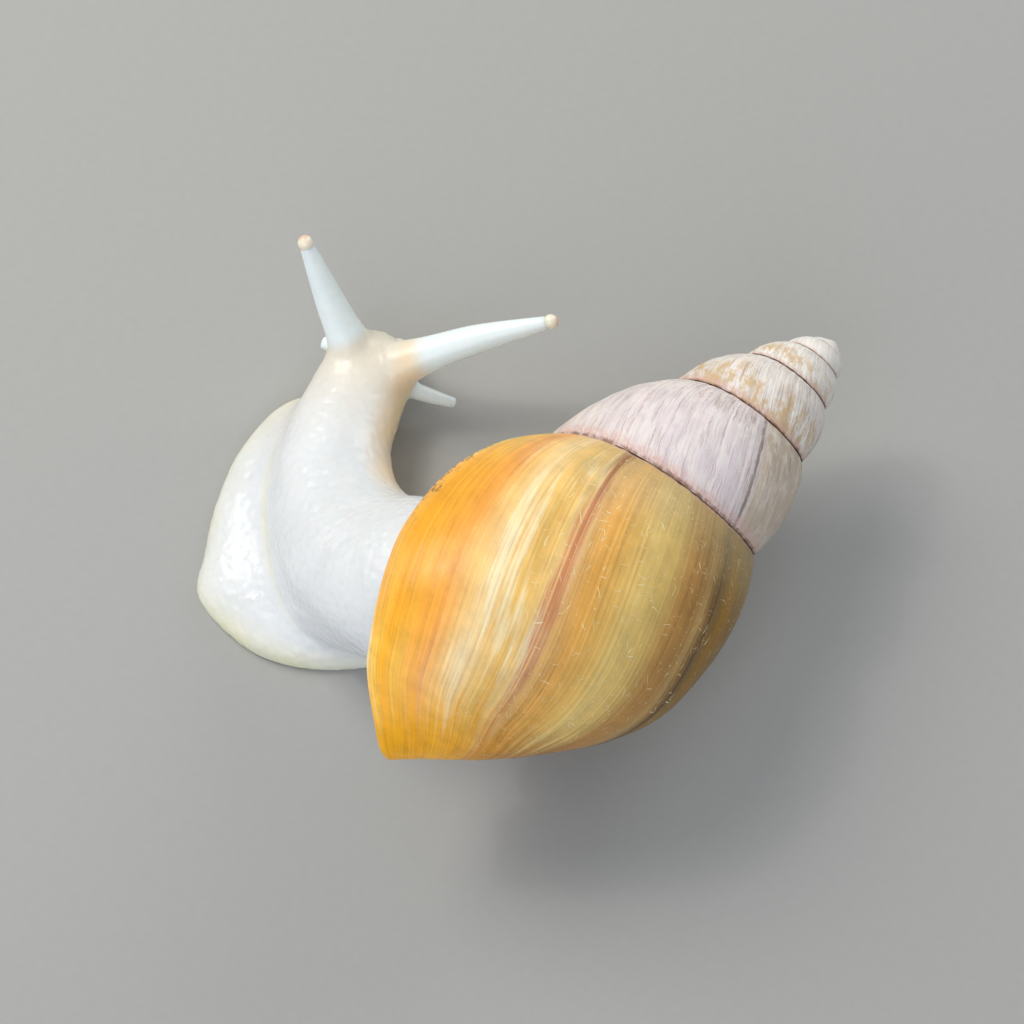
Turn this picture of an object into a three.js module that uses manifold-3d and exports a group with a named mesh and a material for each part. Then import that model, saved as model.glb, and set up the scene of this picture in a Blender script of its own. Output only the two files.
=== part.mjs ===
// Giant African land snail (Lissachatina fulica), white-bodied form, a grown young animal, life size.
// Millimetres, +Z up, origin on the sole. The shell's axis lies over +X in plan, apex forward, and
// the body leaves the aperture on the +Y side, turns right round and carries its head towards +X.
import * as THREE from "three";
import { mergeVertices } from "three/addons/utils/BufferGeometryUtils.js";
import Module from "manifold-3d";

const wasm = await Module();
wasm.setup();

const deg = THREE.MathUtils.degToRad;

// ---- Driving dimensions -------------------------------------------------------------------------
const gap = 0.3; // left between neighbouring pieces

// Every growing size of the shell is its size at the lip times its growth to the power n, where n
// counts whorls: 0 at the lip, -1 one whorl earlier.
const shell = {
  apex: new THREE.Vector3(50.92, -17.38, 18.05),
  axisRise: deg(4.56), // the axis climbs towards the apex
  lipAngle: deg(25.3), // of the lip's suture end, above the horizontal of the +Y side
  sutureRadius: 13.3,
  sutureGrowth: 1.539,
  spireHeight: 32.9,
  spireGrowth: 1.805,
  spireOffset: 2.63,
  curveHeight: 37.45, // along the axis, from suture to base
  curveGrowth: 1.711,
  widest: [1.5, 0.536], // of the generating curve: share of the suture radius, share of its height
  baseEnd: [0.173, 1],
  setback: [deg(50.1), deg(5.2), deg(958)], // the lip trails: linear, fourth power, past the notch
  notch: 0.85, // share of the curve's height where the base notch begins
  lipWall: 1.1,
  lipCut: 0.07, // whorls that the lip's base end falls back
  columella: 2.2, // radius of the solid pillar at its base
};
const grid = {
  perWhorl: 24, // rings
  rings: 125, // from the apex to the lip
  covered: 22, // rings until the next whorl's suture runs over a ring
  shown: 7, // steps along the curve above that suture
  buried: 8, // steps below it
};

// The foot's middle line runs from the tail's tip, under the spire, round to the front edge.
const foot = {
  stations: [
    { at: [33, -6.6, 0], wide: 2.2, high: 1.4 },
    { at: [22, -4.8, 0], wide: 3.6, high: 2.4 },
    { at: [9, -3.2, 0], wide: 6.4, high: 3.6 },
    { at: [-3.2, 0.9, 0], wide: 7.1, high: 4.4 },
    { at: [-7.5, 9.3, 0], wide: 8.7, high: 4.6 },
    { at: [1.4, 17.4, 0], wide: 8.5, high: 4.4 },
    { at: [14, 19.8, 0], wide: 8, high: 3.2 },
  ],
  steps: 52,
  around: 18,
  round: [0.06, 0.9], // the ends are rounded before and past these shares of the line
  tailEnds: 0.3,
  corner: { at: 0.691, reach: 1.2, spread: 0.022 }, // the outer margin's point at the bend
};

// The body's middle line runs from inside the aperture to the front of the head.
const body = {
  stations: [
    { at: [3, -13, 15.5], wide: 7, high: 6 },
    { at: [0.5, -5, 11.8], wide: 10.2, high: 9.2 },
    { at: [-0.7, 2.6, 8.7], wide: 9.0, high: 7 },
    { at: [1.7, 10.1, 6.9], wide: 7.3, high: 5.3 },
    { at: [6.6, 16, 5.9], wide: 6.3, high: 4.5 },
    { at: [12.5, 19.5, 5.4], wide: 5.7, high: 4.1 },
    { at: [17.0, 21.6, 5.2], wide: 5.4, high: 3.9 },
    { at: [20.9, 23.4, 4.7], wide: 4.6, high: 3.3 },
  ],
  steps: 32,
  around: 20,
  round: [0, 0.89],
  neckEnds: 0.72,
  skirt: { from: [0.15, 0.3], to: [0.7, 0.84], fullness: 0.6, flare: 0.28 }, // over the foot
};

// Feelers: root inside the head, bend, tip, and the half widths at root, bend and tip.
const feelers = {
  upper_left: {
    line: [[16.1, 23.5, 7], [16.6, 27.5, 12.8], [17.3, 31.9, 20]], half: [2.5, 1.8, 0.8], eye: 0.9,
  },
  upper_right: {
    line: [[18.4, 18.8, 7.4], [25.4, 13.1, 12.2], [32.4, 7.6, 15]], half: [2.3, 1.7, 0.75], eye: 0.88,
  },
  lower_left: { line: [[17.4, 23.6, 4.2], [16.1, 26.2, 4.6], [15, 28.3, 4.8]], half: [1.2, 1, 0.75] },
  lower_right: { line: [[17.4, 19.2, 4.2], [19.6, 15.2, 3.6], [21.6, 12.1, 3]], half: [1.2, 0.95, 0.6] },
};

// ---- Colours ------------------------------------------------------------------------------------
const shellPaint = new THREE.MeshStandardMaterial({ color: 0xc08a4a, roughness: 0.3, metalness: 0 });
const flesh = new THREE.MeshStandardMaterial({ color: 0xe6e0d0, roughness: 0.25, metalness: 0 });
const eyeFlesh = new THREE.MeshStandardMaterial({ color: 0xd8c4b4, roughness: 0.2, metalness: 0 });

// ---- Solids -------------------------------------------------------------------------------------
// A closed body from rings of equal count. Each end is closed by a fan to its own middle point.
function ringBody(rings) {
  const count = rings[0].length;
  const points = rings.flat();
  const faces = [];
  for (let i = 0; i < rings.length - 1; i += 1) {
    for (let j = 0; j < count; j += 1) {
      const a = i * count + j;
      const b = i * count + ((j + 1) % count);
      faces.push(a, b, b + count, a, b + count, a + count);
    }
  }
  const last = (rings.length - 1) * count;
  for (const [start, flip] of [[0, true], [last, false]]) {
    const middle = new THREE.Vector3();
    for (let j = 0; j < count; j += 1) {
      middle.addScaledVector(points[start + j], 1 / count);
    }
    points.push(middle);
    for (let j = 0; j < count; j += 1) {
      const a = start + j;
      const b = start + ((j + 1) % count);
      faces.push(points.length - 1, flip ? b : a, flip ? a : b);
    }
  }
  return new THREE.BufferGeometry().setFromPoints(points).setIndex(faces);
}

function toSolid(geometry) {
  const bare = geometry.clone();
  bare.deleteAttribute("normal");
  bare.deleteAttribute("uv");
  const merged = mergeVertices(bare, 1e-5);
  return new wasm.Manifold(new wasm.Mesh({
    numProp: 3,
    vertProperties: new Float32Array(merged.attributes.position.array),
    triVerts: new Uint32Array(merged.index.array),
  }));
}

function toGeometry(solid) {
  const mesh = solid.getMesh();
  const geometry = new THREE.BufferGeometry();
  geometry.setAttribute("position", new THREE.BufferAttribute(mesh.vertProperties, 3));
  geometry.setIndex(new THREE.BufferAttribute(mesh.triVerts, 1));
  return geometry;
}

// ---- Shell --------------------------------------------------------------------------------------
const towardsApex = new THREE.Vector3(Math.cos(shell.axisRise), 0, Math.sin(shell.axisRise));
const sideways = new THREE.Vector3(0, 1, 0);
const upwards = new THREE.Vector3().crossVectors(towardsApex, sideways);

// The generating curve, from the suture (share 0) to the base (share 1) in even steps of length.
function generatingCurve() {
  const at = (x, y) => new THREE.Vector2(x, y);
  const [wide, high] = shell.widest;
  const curve = new THREE.CurvePath();
  curve.add(new THREE.CubicBezierCurve(
    at(1, 0), at(1.351, 0.128), at(wide, high - 0.208), at(wide, high)));
  curve.add(new THREE.CubicBezierCurve(
    at(wide, high), at(wide, high + 0.213), at(0.866, 1.056), at(...shell.baseEnd)));
  return curve;
}
const curve = generatingCurve();

function whorlSizes(n) {
  return {
    wide: shell.sutureRadius * shell.sutureGrowth ** n,
    long: shell.curveHeight * shell.curveGrowth ** n,
    start: shell.spireHeight * shell.spireGrowth ** n - shell.spireOffset,
  };
}

// A point of the shell from its whorl number, radius, depth below the apex and trailing angle.
function aboutAxis(n, radius, depth, setback) {
  const angle = shell.lipAngle - 2 * Math.PI * n + setback;
  return shell.apex.clone()
    .addScaledVector(sideways, radius * Math.cos(angle))
    .addScaledVector(upwards, radius * Math.sin(angle))
    .addScaledVector(towardsApex, -depth);
}

function trailing(share) {
  const [linear, fourth, notched] = shell.setback;
  return linear * share + fourth * share ** 4 + notched * Math.max(0, share - shell.notch) ** 2;
}

// The surface at whorl number n and a share of the curve's length. A positive grow moves it
// outwards by that many millimetres.
function shellPoint(n, share, grow = 0) {
  const { wide, long, start } = whorlSizes(n);
  const { x, y } = curve.getPointAt(share);
  const slope = curve.getTangentAt(share);
  const normal = new THREE.Vector2(slope.y * long, -slope.x * wide).setLength(grow);
  const radius = Math.max(wide * x + normal.x, 0.2);
  return aboutAxis(n, radius, start + long * y + normal.y, trailing(y));
}

function lipCut(share) {
  return shell.lipCut * Math.max(0, (share - 0.76) / 0.24) ** 2;
}

// The share of the curve's length where the next whorl's suture covers it, found by bisection.
function coveredShare(n) {
  const next = whorlSizes(n + grid.covered / grid.perWhorl).start;
  const { long, start } = whorlSizes(n);
  let [low, high] = [0, 1];
  for (let i = 0; i < 30; i += 1) {
    const middle = (low + high) / 2;
    [low, high] = start + long * curve.getPointAt(middle).y < next ? [middle, high] : [low, middle];
  }
  return low;
}

// A closed, solid shell that has grown as far as the given ring (0 is the finished lip). Strips
// between neighbouring rings run from suture to suture, and in the last whorl on to the base.
function closedShell(lip, grow) {
  const points = [];
  const faces = [];
  const first = lip - grid.rings;
  const bare = lip - grid.covered;
  const names = new Map();
  const vertex = (ring, step) => {
    const tied = step === grid.shown && ring <= bare;
    const key = tied ? `${ring + grid.covered},0` : `${ring},${step}`;
    if (!names.has(key)) {
      names.set(key, points.length);
      const [i, j] = key.split(",").map(Number);
      const seam = coveredShare(i / grid.perWhorl);
      const share = j <= grid.shown
        ? (seam * j) / grid.shown
        : seam + ((1 - seam) * (j - grid.shown)) / grid.buried;
      const n = i / grid.perWhorl - lipCut(share) * Math.max(0, 1 + (i - lip) / 5);
      points.push(shellPoint(n, share, grow));
    }
    return names.get(key);
  };
  const base = grid.shown + grid.buried;
  for (let ring = first; ring < lip; ring += 1) {
    for (let step = 0; step < (ring < bare ? grid.shown : base); step += 1) {
      const [a, b] = [vertex(ring, step), vertex(ring + 1, step)];
      const [c, d] = [vertex(ring + 1, step + 1), vertex(ring, step + 1)];
      faces.push(a, b, c, a, c, d);
    }
  }
  // The rounded tip: a fan from the axis to the first ring and to the first whorl's suture.
  const tip = points.push(aboutAxis(0, 0, whorlSizes(first / grid.perWhorl).start - 0.5 - grow, 0)) - 1;
  for (let step = 0; step < grid.shown; step += 1) {
    faces.push(tip, vertex(first, step), vertex(first, step + 1));
  }
  for (let ring = first; ring < first + grid.covered; ring += 1) {
    faces.push(tip, vertex(ring + 1, 0), vertex(ring, 0));
  }
  // The aperture's face, zipped between the lip and the whorl that it laps.
  const across = (step) => vertex(bare, grid.shown + Math.round((step * grid.buried) / base));
  for (let step = 0; step < base; step += 1) {
    faces.push(vertex(lip, step), across(step + 1), vertex(lip, step + 1));
    if (step > 0 && across(step) !== across(step + 1)) {
      faces.push(vertex(lip, step), across(step), across(step + 1));
    }
  }
  // The pillar's side, between the base end of the lip and the base line behind it.
  for (let ring = bare; ring < lip - 1; ring += 1) {
    faces.push(vertex(lip, base), vertex(ring, base), vertex(ring + 1, base));
  }
  return toSolid(new THREE.BufferGeometry().setFromPoints(points).setIndex(faces));
}

// A pillar about the axis, down to a share of the shell's length. LatheGeometry turns about Y, so
// Y is laid along the shell's axis.
function pillar(grow, reach = 0.86) {
  const { long, start } = whorlSizes(0);
  const length = start + long;
  const end = -length * reach - grow;
  const thick = shell.columella + grow;
  const profile = [
    new THREE.Vector2(0, end),
    new THREE.Vector2(thick * 0.7, end + 0.6),
    new THREE.Vector2(thick, end + 4),
    new THREE.Vector2(thick, -length * 0.6),
    new THREE.Vector2(0.5 + grow, -length * 0.31),
    new THREE.Vector2(0, -length * 0.3),
  ];
  const geometry = new THREE.LatheGeometry(profile, 14);
  const turn = new THREE.Matrix4().makeBasis(upwards, towardsApex, sideways);
  turn.setPosition(shell.apex);
  return toSolid(geometry.applyMatrix4(turn));
}

// What fills the aperture between two ring numbers, as far in from the surface as grow is negative.
function apertureFill(from, to, grow, reach = 1) {
  const across = 16;
  const rings = [];
  for (let i = 0; i <= 3; i += 1) {
    const outer = [];
    const inner = [];
    for (let j = 0; j <= across; j += 1) {
      const share = (reach * j) / across;
      const n = (from + ((to - from) * i) / 3) / grid.perWhorl - lipCut(share) * Math.max(0, 1 + to / 5);
      const point = shellPoint(n, share, grow);
      const arm = point.clone().sub(shell.apex).projectOnPlane(towardsApex);
      outer.push(point);
      inner.unshift(point.clone().sub(arm).addScaledVector(arm.normalize(), 0.2));
    }
    rings.push([...outer, ...inner]);
  }
  return toSolid(sweepBody(rings));
}

// A sweep of rings, each an outer line and its way back, its ends ladders between the two.
function sweepBody(rings) {
  const count = rings[0].length;
  const faces = [];
  for (let i = 0; i < rings.length - 1; i += 1) {
    for (let j = 0; j < count; j += 1) {
      const a = i * count + j;
      const b = i * count + ((j + 1) % count);
      faces.push(a, b + count, b, a, a + count, b + count);
    }
  }
  const last = (rings.length - 1) * count;
  for (let j = 0; j < count / 2 - 1; j += 1) {
    const [a, b, c, d] = [j, j + 1, count - 2 - j, count - 1 - j];
    faces.push(a, b, c, a, c, d);
    faces.push(last + a, last + c, last + b, last + a, last + d, last + c);
  }
  return new THREE.BufferGeometry().setFromPoints(rings.flat()).setIndex(faces);
}

// The ground's half of space, which trims the shell to a small flat.
function ground() {
  return toSolid(new THREE.BoxGeometry(200, 200, 10).translate(0, 0, -5));
}

// The shell with its aperture hollowed: the whorl that the lip laps stays as the inner wall.
function makeShell() {
  const opening = apertureFill(-3, 1, -shell.lipWall).subtract(closedShell(-18, 0));
  return closedShell(0, 0).subtract(opening).add(pillar(0)).subtract(ground());
}

// ---- Flesh --------------------------------------------------------------------------------------
// Rings along a smooth line through the stations, from one share of it to another. The outline
// gives the cross-section for an angle: a share of the half width to the left, one of the height.
// On the inside of a bend the half width stays short of the bend's own radius.
function loft(part, outline, { grow = 0, from = 0, to = 1 } = {}) {
  const spline = (list) => new THREE.CatmullRomCurve3(
    list.map((values) => new THREE.Vector3(...values)), false, "centripetal");
  const line = spline(part.stations.map(({ at }) => at));
  const sizes = spline(part.stations.map(({ wide, high }) => [wide, high, 0]));
  const steps = Math.ceil(part.steps * (to - from));
  const rings = [];
  for (let i = 0; i <= steps; i += 1) {
    const t = from + ((to - from) * i) / steps;
    const { x: wide, y: high } = sizes.getPoint(t);
    const middle = line.getPoint(t);
    const tangent = line.getTangent(t);
    const left = new THREE.Vector3(-tangent.y, tangent.x, 0).normalize();
    const up = new THREE.Vector3().crossVectors(tangent, left);
    const [behind, ahead] = [Math.max(t - 0.02, 0), Math.min(t + 0.02, 1)];
    const bend = line.getTangent(ahead).sub(line.getTangent(behind)).dot(left)
      / line.getPoint(ahead).distanceTo(line.getPoint(behind));
    const ring = [];
    for (let j = 0; j < part.around; j += 1) {
      const [u, v] = outline((2 * Math.PI * j) / part.around, t);
      const most = u * bend > 0 ? 0.88 / Math.abs(bend) : Infinity;
      ring.push(middle.clone()
        .addScaledVector(left, u * Math.min(wide + grow, most))
        .addScaledVector(up, v * (high + grow)));
    }
    rings.push(ring);
  }
  return toSolid(ringBody(rings));
}

// Falls from 1 to 0 over the rounded ends of a line.
function roundEnds(t, [first, last]) {
  const past = Math.max((first - t) / Math.max(first, 1e-6), (t - last) / (1 - last), 0);
  return Math.sqrt(Math.max(1 - past * past, 0.01));
}

function footOutline(angle, t) {
  const { at, reach, spread } = foot.corner;
  const ends = roundEnds(t, foot.round);
  const side = Math.cos(angle);
  const corner = side > 0 ? reach * Math.exp(-(((t - at) / spread) ** 2)) / foot.stations[4].wide : 0;
  const rise = Math.max(Math.sin(angle), 0) ** 0.8;
  return [side * (ends + corner * side * side), rise * (0.4 + 0.6 * ends)];
}

// Below its middle the body keeps its width down to the foot, and flares on its left side.
function bodyOutline(angle, t) {
  const { from, to, fullness, flare } = body.skirt;
  const ends = roundEnds(t, body.round);
  const [side, rise] = [Math.cos(angle), Math.sin(angle)];
  const over = THREE.MathUtils.smoothstep(t, ...from) * (1 - THREE.MathUtils.smoothstep(t, ...to));
  const skirt = rise < 0 ? over : 0;
  const full = Math.sign(side) * Math.abs(side) ** (1 - fullness * skirt);
  const flared = side > 0 ? 1 - flare * skirt * rise : 1;
  return [full * flared * ends, rise * ends];
}

function roundOutline(angle) {
  return [Math.cos(angle), Math.sin(angle)];
}

const span = 0.003; // share of a body line that stands for half a gap
const keptClear = closedShell(0, gap).add(apertureFill(-3, 0, gap)).add(pillar(gap));
const grownFoot = loft(foot, footOutline, { grow: gap });
const grownBody = loft(body, bodyOutline, { grow: gap });

function makeMantle() {
  return apertureFill(-2.2, -0.3, -shell.lipWall - gap, 0.8)
    .subtract(closedShell(-18, gap))
    .subtract(pillar(gap, 1));
}

function makeFoot() {
  return loft(foot, footOutline, { from: foot.tailEnds + span }).subtract(keptClear);
}

function makeTail() {
  return loft(foot, footOutline, { to: foot.tailEnds - span }).subtract(keptClear);
}

function makeNeck() {
  return loft(body, bodyOutline, { to: body.neckEnds - span }).subtract(keptClear).subtract(grownFoot);
}

function makeHead() {
  return loft(body, bodyOutline, { from: body.neckEnds + span }).subtract(grownFoot);
}

function feelerLoft({ line, half }, grow = 0) {
  const stations = line.map((at, i) => ({ at, wide: half[i], high: half[i] }));
  return loft({ stations, steps: 10, around: 12 }, roundOutline, { grow });
}

function eyeBall({ line, eye }, grow = 0) {
  return toSolid(new THREE.SphereGeometry(eye + grow, 14, 10).translate(...line.at(-1)));
}

// ---- The animal ---------------------------------------------------------------------------------
const snail = new THREE.Group();
snail.name = "snail";

function place(name, solid, material) {
  const mesh = new THREE.Mesh(toGeometry(solid), material);
  mesh.name = name;
  snail.add(mesh);
}

place("shell", makeShell(), shellPaint);
place("mantle", makeMantle(), flesh);
place("foot", makeFoot(), flesh);
place("tail", makeTail(), flesh);
place("neck", makeNeck(), flesh);
place("head", makeHead(), flesh);
for (const [side, shape] of Object.entries(feelers)) {
  let solid = feelerLoft(shape).subtract(grownBody).subtract(grownFoot);
  if (shape.eye) {
    solid = solid.subtract(eyeBall(shape, gap));
    place(`eye_${side.replace("upper_", "")}`, eyeBall(shape), eyeFlesh);
  }
  place(`tentacle_${side}`, solid, flesh);
}

export default snail;
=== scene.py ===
import math

import bmesh
import bpy
import numpy as np
from mathutils import Matrix, Vector, noise


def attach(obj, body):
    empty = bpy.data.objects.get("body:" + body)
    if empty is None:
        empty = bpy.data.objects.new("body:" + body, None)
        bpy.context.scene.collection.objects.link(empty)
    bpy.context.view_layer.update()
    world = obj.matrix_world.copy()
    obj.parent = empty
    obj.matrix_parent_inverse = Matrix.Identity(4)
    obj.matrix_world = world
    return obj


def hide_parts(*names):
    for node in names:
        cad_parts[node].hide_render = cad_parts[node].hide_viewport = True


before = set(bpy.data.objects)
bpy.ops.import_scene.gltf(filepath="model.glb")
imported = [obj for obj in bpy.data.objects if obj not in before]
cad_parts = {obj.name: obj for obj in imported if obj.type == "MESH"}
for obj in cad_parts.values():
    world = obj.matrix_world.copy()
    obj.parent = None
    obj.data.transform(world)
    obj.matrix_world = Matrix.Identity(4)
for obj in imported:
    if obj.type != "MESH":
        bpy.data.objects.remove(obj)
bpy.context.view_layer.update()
mm = 0.001


# helpers that the pieces share

def srgb(red, green, blue):
    # a colour as a screen shows it, 0 to 255, turned into the linear one that nodes hold
    shares = [value / 255 for value in (red, green, blue)]
    return tuple(s / 12.92 if s < 0.04 else ((s + 0.055) / 1.055) ** 2.4 for s in shares) + (1,)


def setSocket(tree, socket, value):
    if isinstance(value, bpy.types.NodeSocket):
        tree.links.new(value, socket)
    else:
        socket.default_value = value


def addNode(tree, kind, inputs, **settings):
    node = tree.nodes.new("ShaderNode" + kind)
    for name, value in settings.items():
        setattr(node, name, value)
    for name, value in inputs.items():
        setSocket(tree, node.inputs[name], value)
    return node


def calc(tree, operation, a, b=0.0, c=0.0):
    return addNode(tree, "Math", {0: a, 1: b, 2: c}, operation=operation).outputs[0]


def remap(tree, value, low, high, outLow=0.0, outHigh=1.0):
    ends = {"Value": value, "From Min": low, "From Max": high, "To Min": outLow, "To Max": outHigh}
    return addNode(tree, "MapRange", ends, interpolation_type="SMOOTHSTEP").outputs[0]


def remapLinear(tree, value, low, high, outLow=0.0, outHigh=1.0):
    ends = {"Value": value, "From Min": low, "From Max": high, "To Min": outLow, "To Max": outHigh}
    return addNode(tree, "MapRange", ends).outputs[0]


def spreadNoise(tree, value, outLow, outHigh):
    # noise lies mostly between 0.3 and 0.7
    return remapLinear(tree, value, 0.3, 0.7, outLow, outHigh)


def product(tree, value, *others):
    for other in others:
        value = calc(tree, "MULTIPLY", value, other)
    return value


def mixColours(tree, share, a, b, blend="MIX"):
    node = addNode(tree, "Mix", {0: share}, data_type="RGBA", blend_type=blend)
    setSocket(tree, node.inputs[6], a)
    setSocket(tree, node.inputs[7], b)
    return node.outputs[2]


def paint(tree, under, colour, share):
    # a plain colour laid over what is there
    return mixColours(tree, share, under, srgb(*colour))


def shade(tree, colour, tone):
    return mixColours(tree, 1.0, colour, joinXyz(tree, tone, tone, tone), "MULTIPLY")


def colourRamp(tree, value, stops):
    node = addNode(tree, "ValToRGB", {"Fac": value})
    elements = node.color_ramp.elements
    while len(elements) < len(stops):
        elements.new(1.0)
    for element, (place, colour) in zip(elements, stops):
        element.position = place
        element.color = srgb(*colour)
    return node.outputs[0]


def attribute(tree, name):
    return addNode(tree, "Attribute", {}, attribute_name=name).outputs["Fac"]


def noiseOf(tree, vector, scale, detail=3.0, roughness=0.55):
    inputs = {"Vector": vector, "Scale": scale, "Detail": detail, "Roughness": roughness}
    return addNode(tree, "TexNoise", inputs).outputs[0]


def joinXyz(tree, x, y, z=0.0):
    return addNode(tree, "CombineXYZ", {"X": x, "Y": y, "Z": z}).outputs[0]


def newMaterial(name):
    material = bpy.data.materials.new(name)
    material.use_nodes = True
    tree = material.node_tree
    return material, tree, tree.nodes["Principled BSDF"]


def setFinish(shader, finish):
    for name, value in finish.items():
        shader.inputs[name].default_value = value


def makeObject(name, bm, material):
    mesh = bpy.data.meshes.new(name)
    bm.to_mesh(mesh)
    bm.free()
    mesh.materials.append(material)
    mesh.shade_smooth()
    piece = bpy.data.objects.new(name, mesh)
    bpy.context.scene.collection.objects.link(piece)
    return piece


def bentGrid(bm, rows, columns, place):
    # a grid of so many steps, bent: place gives each point, in millimetres, and its attributes
    verts = bmesh.ops.create_grid(bm, x_segments=rows, y_segments=columns, size=0.5)["verts"]
    row = np.array([round((vert.co.x + 0.5) * rows) for vert in verts])
    column = np.array([round((vert.co.y + 0.5) * columns) for vert in verts])
    points, values = place(row, column)
    for vert, point in zip(verts, points * mm):
        vert.co = point
    for name, layerValues in values.items():
        layer = bm.verts.layers.float[name]
        for vert, value in zip(verts, layerValues):
            vert[layer] = value


def spline(points, places):
    # a centripetal Catmull-Rom curve through the points, its whole run from place 0 to 1
    points = np.array(points, float)
    ends = np.vstack([2 * points[0] - points[1], points, 2 * points[-1] - points[-2]])
    along = np.clip(np.asarray(places, float), 0, 1) * (len(points) - 1)
    first = np.minimum(along.astype(int), len(points) - 2)
    w = (along - first)[:, None]
    p0, p1, p2, p3 = (ends[first + k] for k in range(4))
    gaps = [np.sqrt(np.linalg.norm(b - a, axis=1))[:, None] for a, b in ((p0, p1), (p1, p2), (p2, p3))]
    leave = ((p1 - p0) / gaps[0] - (p2 - p0) / (gaps[0] + gaps[1]) + (p2 - p1) / gaps[1]) * gaps[1]
    arrive = ((p2 - p1) / gaps[1] - (p3 - p1) / (gaps[1] + gaps[2]) + (p3 - p2) / gaps[2]) * gaps[1]
    cubic = 2 * p1 - 2 * p2 + leave + arrive
    square = -3 * p1 + 3 * p2 - 2 * leave - arrive
    return p1 + leave * w + square * w**2 + cubic * w**3


def wave(values, seed):
    # smooth noise along one number, from -1 to 1, with a knot at every whole number
    knots = np.random.default_rng(seed).uniform(-1, 1, 4096)
    first = np.floor(values).astype(int)
    w = values - first
    w = w * w * (3 - 2 * w)
    return knots[first % 4096] * (1 - w) + knots[(first + 1) % 4096] * w


def smoothStep(values, low, high):
    w = np.clip((values - low) / (high - low), 0, 1)
    return w * w * (3 - 2 * w)


# shell

shell = {
    "apex": (50.92, -17.38, 18.05),
    "axisRise": 4.56,       # degrees by which the axis climbs towards the apex
    "lipAngle": 25.3,       # degrees of the lip's suture end above level
    "whorls": 7.6,
    "tip": (-4.2, 0.6),     # earlier than this whorl, the spire climbs by this share of its rule
    "suture": (13.3, 1.539),       # radius at the lip, growth in a whorl
    "spire": (32.9, 1.805, 2.63),  # height at the lip, growth, offset
    "curve": (37.45, 1.711),       # height of the generating curve at the lip, growth
    "widest": (1.5, 0.536),
    "baseEnd": (0.173, 1.0),
    "setback": (50.1, 5.2, 958.0),  # degrees: linear, fourth power, past the notch
    "notch": 0.85,
    "lipCut": (0.07, 0.76),  # whorls that the base of the lip is cut back by, from this share on
    "covered": 22 / 24,     # whorls until the next suture runs over a line of growth
    "rowStep": 0.25,        # millimetres between the rows on the widest line
    "widestRadius": (17, 20),  # millimetres: that line's, and the lip's
    "upperSteps": 36,       # columns above the next suture, and below it
    "lowerSteps": 54,
    "wall": (0.55, 1.1),    # at the lip's edge, and further in
    "insideReach": (0.14, 40),  # whorls that the inner wall goes back, and its rows
    "relief": (0.13, 0.034, 0.05),  # riblets of the spire, lines and swells of the last whorl
    "sutureDip": (0.07, 0.05),  # depth of the groove at the suture, and how far it varies
    "pillar": (2.2, 0.6, 0.86),  # radius, then shares of the length where it starts and ends
}
rise = math.radians(shell["axisRise"])
apex = np.array(shell["apex"])
towardsApex = np.array((math.cos(rise), 0, math.sin(rise)))
sideways = np.array((0.0, 1.0, 0.0))
upwards = np.cross(towardsApex, sideways)
sutureGrowth = math.log(shell["suture"][1])


def generatingCurve():
    # shares of the suture radius and of the curve's height, at even steps along the curve
    wide, high = shell["widest"]
    t = np.linspace(0, 1, 300)[:, None]
    pull = 0.208  # how far the widest place pulls on the curve, up and down
    shoulder = [(1, 0), (1.351, 0.128), (wide, high - pull), (wide, high)]
    base = [(wide, high), (wide, high + 0.213), (0.866, 1.056), shell["baseEnd"]]
    halves = []
    for a, b, c, d in (np.array(shoulder, float), np.array(base, float)):
        halves.append((1 - t) ** 3 * a + 3 * (1 - t) ** 2 * t * b + 3 * (1 - t) * t**2 * c + t**3 * d)
    points = np.vstack([halves[0], halves[1][1:]])
    length = np.concatenate([[0], np.cumsum(np.linalg.norm(np.diff(points, axis=0), axis=1))])
    return points, length / length[-1]


curvePoints, curveShares = generatingCurve()
curveSlopes = np.gradient(curvePoints, curveShares, axis=0)


def onCurve(share, table=curvePoints):
    return [np.interp(share, curveShares, table[:, k]) for k in (0, 1)]


def whorlSizes(n):
    wide = shell["suture"][0] * shell["suture"][1] ** n
    tall = shell["curve"][0] * shell["curve"][1] ** n
    height, ratio, offset = shell["spire"]
    start = height * ratio**n - offset
    first, slower = shell["tip"]
    level = height * ratio**first - offset
    return wide, tall, np.where(n < first, level + slower * (start - level), start)


def trailing(y):
    linear, fourth, notched = (math.radians(value) for value in shell["setback"])
    return linear * y + fourth * y**4 + notched * np.maximum(0, y - shell["notch"]) ** 2


def shellPoints(n, share, grow=0.0):
    # n counts whorls, 0 at the lip and negative behind it; grow moves the surface outwards
    x, y = onCurve(share)
    slopeX, slopeY = onCurve(share, curveSlopes)
    nearLip = np.clip(1 + n * 24 / 5, 0, 1)  # the base's cut fades out over 5/24 of a whorl
    cut, begins = shell["lipCut"]
    n = n - cut * np.maximum(0, (share - begins) / (1 - begins)) ** 2 * nearLip
    wide, tall, start = whorlSizes(n)
    outX, outY = slopeY * tall, -slopeX * wide
    length = np.hypot(outX, outY)
    radius = np.maximum(wide * x + grow * outX / length, 0.2)
    depth = start + tall * y + grow * outY / length
    angle = math.radians(shell["lipAngle"]) - 2 * math.pi * n + trailing(y)
    around = np.cos(angle)[..., None] * sideways + np.sin(angle)[..., None] * upwards
    return apex + radius[..., None] * around - depth[..., None] * towardsApex


def coveredShare(n):
    # share of the curve at which the next whorl covers it
    _, tall, start = whorlSizes(n)
    height = (whorlSizes(n + shell["covered"])[2] - start) / tall
    rising = curveShares < 0.8
    return np.interp(height, curvePoints[rising, 1], curveShares[rising])


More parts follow.
